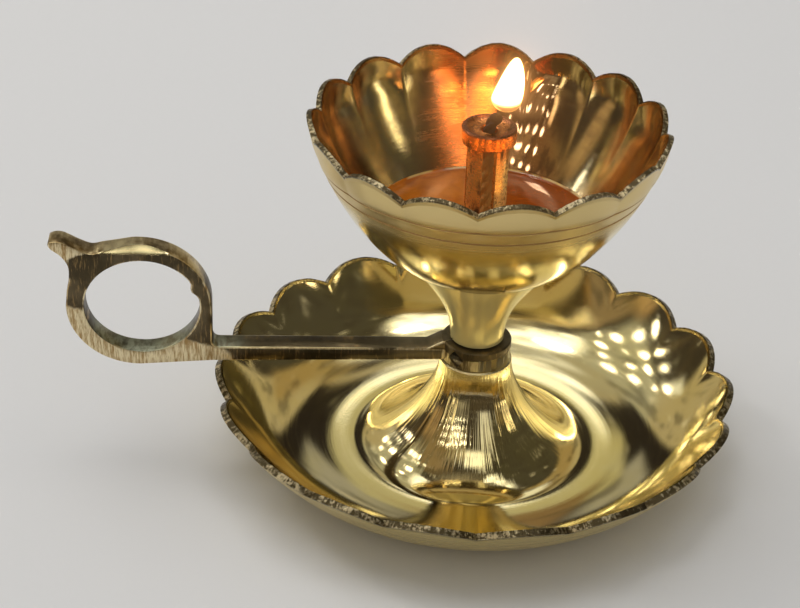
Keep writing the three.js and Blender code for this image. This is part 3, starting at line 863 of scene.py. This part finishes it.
def fluted(solid):
    """Shallow flutes down the bowl's inside, one below each lobe."""
    inside = solid.verts.layers.float["inside"]
    for vert in solid.verts:
        if vert[inside] < 0.5 or vert.co.z < FLUTE_FOOT:
            continue
        share = min((vert.co.z - FLUTE_FOOT) / (CUP_CUSP_HEIGHT - FLUTE_FOOT), 1) ** 1.2
        edge = 1 - smoothstep(vert.co.z, CUP_CUSP_HEIGHT - 2, CUP_CUSP_HEIGHT + 2) * 0.6
        arch = lobe_arch(vert.co, CUP_LOBES, CUP_FIRST_CUSP)
        grown = 1 + FLUTE_DEPTH * share * edge * arch / vert.co.xy.length
        vert.co.x *= grown
        vert.co.y *= grown


# Handle
def handle_outline():
    rest = smooth_run([(LOOP_FAR - out, LOOP_TOP + up) for out, up in THUMB_REST], 5)
    return [
        (0, EYE_BOTTOM),
        *arc(LOOP_NEAR + BAR_FILLET, EYE_BOTTOM + BAR_FILLET, BAR_FILLET, BAR_FILLET, 270, 180, 8),
        *arc(*LOOP_MIDDLE, LOOP_HALF_WIDTH, LOOP_HALF_HEIGHT, 0, 95, 30),
        *rest,
        *arc(*LOOP_MIDDLE, LOOP_HALF_WIDTH, LOOP_HALF_HEIGHT, 180, 270, 26),
        (LOOP_NEAR, EYE_BOTTOM - BAR_DEPTH_AT_LOOP),
        (0, EYE_BOTTOM - BAR_DEPTH),
    ]


def finger_hole():
    """Oval hole with the casting nub left at its upper right."""
    points = []
    for angle in range(0, 360, 5):
        turn = math.radians(angle)
        nub = smoothstep(1 - abs(angle - NUB_ANGLE) / NUB_SPREAD, 0, 1)
        inward = 1 - NUB_SHARE * nub
        points.append((
            FINGER_HOLE_MIDDLE[0] + FINGER_HOLE_HALF[0] * inward * math.cos(turn),
            FINGER_HOLE_MIDDLE[1] + FINGER_HOLE_HALF[1] * inward * math.sin(turn),
        ))
    return points


def handle():
    bar = plate(handle_outline(), [finger_hole()], HANDLE_THICKNESS, EDGE_ROUNDING)
    polished_ridge(bar)
    gusset_end = -EYE_RADIUS - GUSSET_LENGTH
    gusset = plate([
        (0, EYE_BOTTOM - 0.5), (0, EYE_TOP - 0.02), (-EYE_RADIUS, EYE_TOP - 0.02),
        (gusset_end, EYE_BOTTOM - 0.02), (gusset_end, EYE_BOTTOM - 0.5),
    ], [], HANDLE_THICKNESS - 0.04, EDGE_ROUNDING)
    skirt = drum(EYE_RADIUS, EYE_BOTTOM - BAR_DEPTH, EYE_BOTTOM + 0.1)
    far_half = block((0, -20, 20), (20, 20, EYE_BOTTOM + 0.2))
    skirt = combined(skirt, "DIFFERENCE", far_half)
    boss_room = drum(SKIRT_INSIDE, 0, EYE_BOTTOM)
    eye = spun([
        (0, EYE_BOTTOM), (EYE_RADIUS - 0.15, EYE_BOTTOM), (EYE_RADIUS, EYE_BOTTOM + 0.15),
        (EYE_RADIUS, EYE_TOP - 0.3), (EYE_RADIUS - 0.3, EYE_TOP), (0, EYE_TOP),
    ], ROUND_SIDES, 0, False)
    stud_hole = drum(BORE_RADIUS, 10, 40, ROUND_SIDES // 2)
    solid = combined(bar, "UNION", skirt)
    solid = combined(solid, "DIFFERENCE", boss_room)
    solid = combined(solid, "UNION", eye, gusset, worn_flat())
    solid = combined(solid, "DIFFERENCE", stud_hole)
    finishes = [
        handle_brass("cast handle brass", 0.0),
        handle_brass("worn handle edge", 0.5),
        handle_brass("rubbed flat brass", 1.4),
    ]
    return settled("handle_casting", solid, "handle", ["handle"], finishes, 24)


def polished_ridge(bar):
    """Wide worn slope along the top front edge of the loop."""
    front = -HANDLE_THICKNESS / 2
    for vert in bar.verts:
        if vert.co.y > front + EDGE_ROUNDING + 0.02:
            continue
        out = vert.co.x - LOOP_MIDDLE[0]
        up = vert.co.z - LOOP_MIDDLE[1]
        angle = math.degrees(math.atan2(up, out))
        reach = math.hypot(out / LOOP_HALF_WIDTH, up / LOOP_HALF_HEIGHT)
        if RIDGE_START < angle < RIDGE_END and reach > 0.93:
            share = smoothstep(angle, RIDGE_START, 82) * (1 - smoothstep(angle, 96, RIDGE_END))
            down = (front + EDGE_ROUNDING - vert.co.y) / EDGE_ROUNDING
            vert.co.y += share * (RIDGE_WIDTH - EDGE_ROUNDING) * (1 - down)
            vert.co.z -= share * (RIDGE_WIDTH - EDGE_ROUNDING) * down


def worn_flat():
    """Small square flat, worn bright, where the bar runs into the eye's skirt."""
    pad = block((-1.55, -0.35, -1.4), (1.55, 0.35, 1.4))
    edges = list(pad.edges)
    bmesh.ops.bevel(pad, geom=edges, offset=0.2, segments=2, profile=0.5, affect="EDGES", material=-1)
    for face in pad.faces:
        face.material_index = 2
    bearing = math.radians(-40)
    turn = Matrix.Rotation(bearing, 4, "Z") @ Matrix.Rotation(math.radians(36), 4, "Y")
    bmesh.ops.transform(pad, matrix=turn, verts=pad.verts)
    reach = EYE_RADIUS - 0.15
    spot = (math.sin(bearing) * reach, -math.cos(bearing) * reach, EYE_BOTTOM - 0.6)
    bmesh.ops.translate(pad, vec=spot, verts=pad.verts)
    return pad


# Wick holder
def wick_holder():
    tube = spun([
        (HOLDER_BORE, HOLDER_FOOT), (HOLDER_RADIUS, HOLDER_FOOT), (HOLDER_RADIUS, COLLAR_BOTTOM),
        (COLLAR_RADIUS - 0.3, COLLAR_BOTTOM), (COLLAR_RADIUS, COLLAR_BOTTOM + 0.35),
        (COLLAR_RADIUS, HOLDER_TOP - 0.3), (COLLAR_RADIUS - 0.3, HOLDER_TOP),
        (COLLAR_RADIUS - 0.9, HOLDER_TOP - 0.05), (COLLAR_RADIUS - 1.5, HOLDER_TOP - 0.6),
        (3.2, HOLDER_TOP - 0.95), (2.1, HOLDER_TOP - 0.75), (WICK_HOLE, HOLDER_TOP - 1.0),
        (WICK_HOLE, COLLAR_BOTTOM), (HOLDER_BORE, COLLAR_BOTTOM),
    ], ROUND_SIDES)
    half = SLOT_WIDTH / 2
    slots = []
    for quarter in range(4):
        slot = block((-half, 0, HOLDER_FOOT - 1), (half, 12, COLLAR_BOTTOM - 0.01))
        turn = Matrix.Rotation(quarter * math.pi / 2, 4, "Z")
        bmesh.ops.transform(slot, matrix=turn, verts=slot.verts)
        slots.append(slot)
    solid = combined(tube, "DIFFERENCE", *slots)
    finishes = [heated_brass()]
    return settled("slotted_wick_holder", solid, "wick_holder", ["wick_holder"], finishes)


# Wick: three strands twisted together, with a round ember on the burnt end
def strand_mesh(solid, phase):
    steps = 70
    rings = []
    for i in range(steps + 1):
        share = i / steps
        height = WICK_FOOT + share * WICK_LENGTH
        turn = phase + share * WICK_TWISTS * FULL_TURN
        lean = 1.1 * smoothstep(height, 81.5, 84.5)
        centre = (lean + STRAND_REACH * math.cos(turn), STRAND_REACH * math.sin(turn), height)
        made = bmesh.ops.create_circle(solid, segments=10, radius=STRAND_RADIUS)
        bmesh.ops.translate(solid, vec=centre, verts=made["verts"])
        rings.append(made["verts"])
    bands = []
    for ring in rings:
        edges = {edge for vert in ring for edge in vert.link_edges}
        bands.append(list(edges))
    for low, high in zip(bands, bands[1:]):
        bmesh.ops.bridge_loops(solid, edges=low + high)
    bmesh.ops.contextual_create(solid, geom=bands[0])
    bmesh.ops.contextual_create(solid, geom=bands[-1])


def wick():
    solid = bmesh.new()
    for strand in range(3):
        strand_mesh(solid, strand * FULL_TURN / 3)
    ember = bmesh.ops.create_icosphere(solid, subdivisions=4, radius=EMBER_RADIUS)
    for vert in ember["verts"]:
        vert.co *= 1 + 0.10 * noise.noise(vert.co * 1.4)
    bmesh.ops.translate(solid, vec=EMBER_SPOT, verts=ember["verts"])
    bmesh.ops.recalc_face_normals(solid, faces=solid.faces)
    return settled("twisted_wick", solid, "wick", ["wick"], [wick_cotton()], 60)


# Flame: a teardrop that leans and curls a little at its tip
def flame():
    outline = []
    steps = 40
    for i in range(steps + 1):
        along = i / steps
        if along < FLAME_BELLY:
            belly = math.sqrt(1 - (1 - along / FLAME_BELLY) ** 2)
        else:
            rise = (along - FLAME_BELLY) / (1 - FLAME_BELLY)
            belly = (1 - rise ** 1.45) ** 0.55
        outline.append((0 if i in (0, steps) else FLAME_RADIUS * belly * 0.97, FLAME_LENGTH * along))
    solid = spun(outline, 48, 0, False)
    for vert in solid.verts:
        share = vert.co.z / FLAME_LENGTH
        vert.co.x += 0.35 * math.sin(share * math.pi) - 0.2 * share * share
    turn = Matrix.Rotation(math.radians(FLAME_TILT), 4, "Y")
    bmesh.ops.transform(solid, matrix=turn, verts=solid.verts)
    bmesh.ops.translate(solid, vec=FLAME_FOOT, verts=solid.verts)
    return settled("flame_drop", solid, "wick", ["flame"], [flame_glow()])


# Oil: fills the bowl to its level and creeps up a little where it meets metal
def oil():
    bowl = offset(bowl_inside(34), 0.03)
    bottom = CUP_FLOOR + 0.05
    wall = [point for point in bowl if bottom + 0.01 < point[1] < OIL_LEVEL]
    edge = radius_at(bowl, OIL_LEVEL)
    inner = HOLDER_RADIUS + 0.05
    surface = [
        (edge, OIL_LEVEL), (edge - 0.25, OIL_LEVEL - 0.22), (edge - 0.7, OIL_LEVEL - 0.38),
        (edge - 1.4, OIL_LEVEL - 0.45), (20, OIL_LEVEL - 0.47), (12, OIL_LEVEL - 0.47),
        (inner + 1.2, OIL_LEVEL - 0.45), (inner + 0.5, OIL_LEVEL - 0.35), (inner, OIL_LEVEL - 0.1),
    ]
    outline = [(inner, bottom), (wall[0][0] - 1.3, bottom), *wall, *surface]
    solid = spun(outline, 180, 0)
    return settled("oil_fill", solid, "cup", ["oil_pool"], [lamp_oil()], 50)


# Studio
def dress_fasteners():
    threaded = turned_brass("threaded stud brass", 1.0)
    plain = turned_brass("turned fastener brass", 0)
    for name, material in (
        ("tie_stud", threaded), ("clamp_nut", plain), ("clamp_washer", plain), ("stem_washer", plain),
    ):
        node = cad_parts[name]
        node.data.materials.clear()
        node.data.materials.append(material)


def table():
    solid = bmesh.new()
    bmesh.ops.create_grid(solid, x_segments=1, y_segments=1, size=3.0)
    mesh = bpy.data.meshes.new("table")
    solid.to_mesh(mesh)
    solid.free()
    top = bpy.data.objects.new("table", mesh)
    bpy.context.scene.collection.objects.link(top)
    finish = bpy.data.materials.new("pale table")
    finish.use_nodes = True
    shader = finish.node_tree.nodes["Principled BSDF"]
    shader.inputs["Base Color"].default_value = rgb(0.80, 0.79, 0.775)
    shader.inputs["Roughness"].default_value = 0.6
    shader.inputs["Specular IOR Level"].default_value = 0.2
    mesh.materials.append(finish)


def area_light(name, spot, aim, size, power, colour=(1, 1, 1)):
    light = bpy.data.lights.new(name, "AREA")
    light.shape = "RECTANGLE"
    light.size, light.size_y = size
    light.energy = power
    light.color = colour
    lamp = bpy.data.objects.new(name, light)
    lamp.location = spot
    lamp.rotation_euler = (Vector(aim) - Vector(spot)).to_track_quat("-Z", "Y").to_euler()
    lamp.visible_glossy = False
    bpy.context.scene.collection.objects.link(lamp)


def studio_light():
    area_light("overhead", (-0.42, 0.35, 1.35), (0, 0, 0.03), (1.3, 1.1), 7.4)
    area_light("left_fill", (-1.1, 0.62, 1.15), (0, 0, 0.03), (0.25, 0.25), 2.5, (1.0, 0.98, 0.95))
    area_light("right_fill", (0.5, 0.09, 1.4), (0, 0, 0.03), (0.7, 0.6), 1.4, (1.0, 0.99, 0.97))
    world = bpy.data.worlds.new("studio room")
    bpy.context.scene.world = world
    world.use_nodes = True
    room = Nodes(world.node_tree)
    background = room.tree.nodes["Background"]
    path = room.node("ShaderNodeLightPath")
    seen = room.mixed(path.outputs["Is Glossy Ray"], rgb(0.39, 0.39, 0.39), room_in_the_metal(room))
    room.feed(seen, background.inputs["Color"])
    background.inputs["Strength"].default_value = 1.0


# Cards and soft boxes that the polished metal mirrors. Each has its span of bearings and of
# heights in degrees, the softness of its edges, and its tone. A bearing of zero lies straight
# behind the lamp and 90 to its right.
CARDS = (
    ((-46, 50), (-6, 46), 4, (0.45, 0.39, 0.25)),
    ((-86, -16), (34, 62), 9, (0.44, 0.43, 0.34)),
    ((-24, 14), (45, 60), 5, (0.42, 0.39, 0.28)),
    ((22, 52), (42, 62), 7, (0.36, 0.28, 0.14)),
    ((-19, 27), (8, 43), 3, (0.022, 0.018, 0.016)),
    ((-10, 1), (12, 28), 4, (0.36, 0.35, 0.31)),
    ((7, 18), (12, 28), 4, (0.36, 0.35, 0.31)),
    ((-12, 42), (52, 82), 6, (0.95, 0.95, 0.88)),
    ((-3, 9), (25, 37), 3, (0.50, 0.47, 0.30)),
    ((-2, 9), (42, 51), 3, (2.0, 2.0, 1.9)),
    ((3, 8), (36, 44), 2, (1.5, 1.5, 1.4)),
    ((2, 6), (11, 30), 2, (0.24, 0.16, 0.08)),
    ((36, 54), (22, 46), 8, (0.36, 0.27, 0.13)),
    ((54, 136), (4, 66), 9, (0.068, 0.062, 0.045)),
    ((-74, -8), (63, 79), 7, (2.2, 2.2, 2.1)),
    ((36, 138), (68, 83), 7, (2.2, 2.2, 2.1)),
    ((-36, -24), (64, 70), 2, (22.0, 21.0, 19.0)),
    ((45, 60), (69, 75), 2, (22.0, 21.0, 19.0)),
    ((96, 126), (5, 24), 6, (0.24, 0.18, 0.09)),
    ((104, 109), (3, 27), 2, (5.0, 4.3, 2.8)),
    ((-128, -124), (4, 30), 2, (2.6, 2.2, 1.4)),
    ((-49, -43), (19, 30), 3, (0.9, 0.9, 0.85)),
    ((-100, -84), (12, 33), 7, (0.46, 0.31, 0.15)),
    ((-135, -92), (30, 66), 9, (0.27, 0.20, 0.11)),
    ((148, 166), (18, 68), 5, (0.85, 0.83, 0.76)),
    ((152, 200), (53, 65), 5, (1.5, 1.45, 1.25)),
    ((203, 225), (8, 30), 5, (0.32, 0.29, 0.22)),
    ((200, 222), (34, 60), 6, (0.44, 0.37, 0.23)),
)
ZENITH_TONE = (0.32, 0.28, 0.20)
ROOM_TONE = (0.045, 0.037, 0.028)
CLUTTER_TONE = (0.26, 0.19, 0.11)
PANEL_TONE = (9.0, 8.7, 8.0)
PANEL_BANKS = (((-0.64, 0.37, 0.67), 0.165), ((-0.493, -0.626, 0.604), 0.115))


def room_in_the_metal(room):
    place = room.node("ShaderNodeTexCoord").outputs["Generated"]
    x, y, z = room.split(place)
    height = room.math("DEGREES", room.math("ARCSINE", z))
    bearing = room.math("DEGREES", room.math("ARCTAN2", x, y))
    clutter = room.spread(room.noise(place, 3.1, 3.0, 0.6), 0.48, 0.66, 0.0, 0.2)
    wall = room.mixed(clutter, rgb(*ROOM_TONE), rgb(*CLUTTER_TONE))
    wall = room.mixed(room.spread(height, 66, 78), wall, rgb(*ZENITH_TONE))
    for bearings, heights, soft, tone in CARDS:
        middle = (bearings[0] + bearings[1]) / 2
        away = room.turn_between(bearing, middle)
        half = (bearings[1] - bearings[0]) / 2
        within = room.spread(away, half + soft / 2, half - soft / 2)
        low, top = heights
        level = room.span(height, low - soft / 2, low + soft / 2, top - soft / 2, top + soft / 2)
        wall = room.mixed(room.times(within, level), wall, rgb(*tone))
    spots = room.spread(room.noise(place, 7.0, 3.0, 0.6), 0.52, 0.62, 0.0, 0.55)
    wall = room.mixed(spots, wall, rgb(*ROOM_TONE))
    glints = room.spread(room.noise(place, 11.0, 2.0, 0.5), 0.66, 0.70, 0.0, 0.5)
    wall = room.mixed(glints, wall, rgb(0.85, 0.80, 0.65))
    for bank, pitch in PANEL_BANKS:
        wall = room.mixed(round_panels(room, place, Vector(bank), pitch), wall, rgb(*PANEL_TONE))
    return wall


def round_panels(room, place, bank, pitch):
    """Four rows of four round lamps, square to a direction."""
    toward = room.facing(place, bank)
    level = Vector((bank.y, -bank.x, 0))
    gaps = []
    within = room.spread(toward, 0.3, 0.35)
    for way in (level, level.cross(bank)):
        share = room.math("DIVIDE", room.facing(place, way), toward)
        cell = room.math("FRACT", room.math("DIVIDE", share, pitch))
        gaps.append(room.math("POWER", room.math("ABSOLUTE", room.math("SUBTRACT", cell, 0.5)), 2.0))
        edge = 2 * pitch
        within = room.times(within, room.spread(room.math("ABSOLUTE", share), edge, edge - 0.01))
    lit = room.spread(room.noise(place, 9.0, 1.0, 0.5), 0.60, 0.54)
    return room.times(within, lit, room.spread(room.plus(*gaps), 0.07, 0.015))


def bloom():
    """Soft glow of the flame and the brightest glints, as a lens gives it."""
    scene = bpy.context.scene
    scene.use_nodes = True
    tree = scene.node_tree
    tree.nodes.clear()
    layers = tree.nodes.new("CompositorNodeRLayers")
    glow = tree.nodes.new("CompositorNodeGlare")
    glow.glare_type = "BLOOM"
    glow.inputs["Threshold"].default_value = 1.2
    glow.inputs["Strength"].default_value = 0.22
    glow.inputs["Size"].default_value = 0.5
    picture = tree.nodes.new("CompositorNodeComposite")
    tree.links.new(layers.outputs["Image"], glow.inputs["Image"])
    tree.links.new(glow.outputs["Image"], picture.inputs["Image"])


def camera():
    """Viewpoint of the photograph."""
    lens = bpy.data.cameras.new("camera")
    lens.sensor_fit = "HORIZONTAL"
    lens.sensor_width = 36.0
    lens.lens = 95.12
    lens.clip_start = 0.01
    lens.clip_end = 20.0
    viewer = bpy.data.objects.new("camera", lens)
    spot = Vector((-0.02236, -0.40287, 0.28552))
    right = Vector((0.99882, -0.03557, 0.03288))
    ahead = Vector((0.04754, 0.85027, -0.52412))
    turn = Matrix((right, right.cross(ahead), -ahead)).transposed().to_4x4()
    viewer.matrix_world = Matrix.Translation(spot) @ turn
    bpy.context.scene.collection.objects.link(viewer)
    bpy.context.scene.camera = viewer


bpy.context.scene.view_settings.view_transform = "Standard"
camera()
studio_light()
bloom()
table()
saucer()
cup()
handle()
wick_holder()
wick()
flame()
oil()
dress_fasteners()
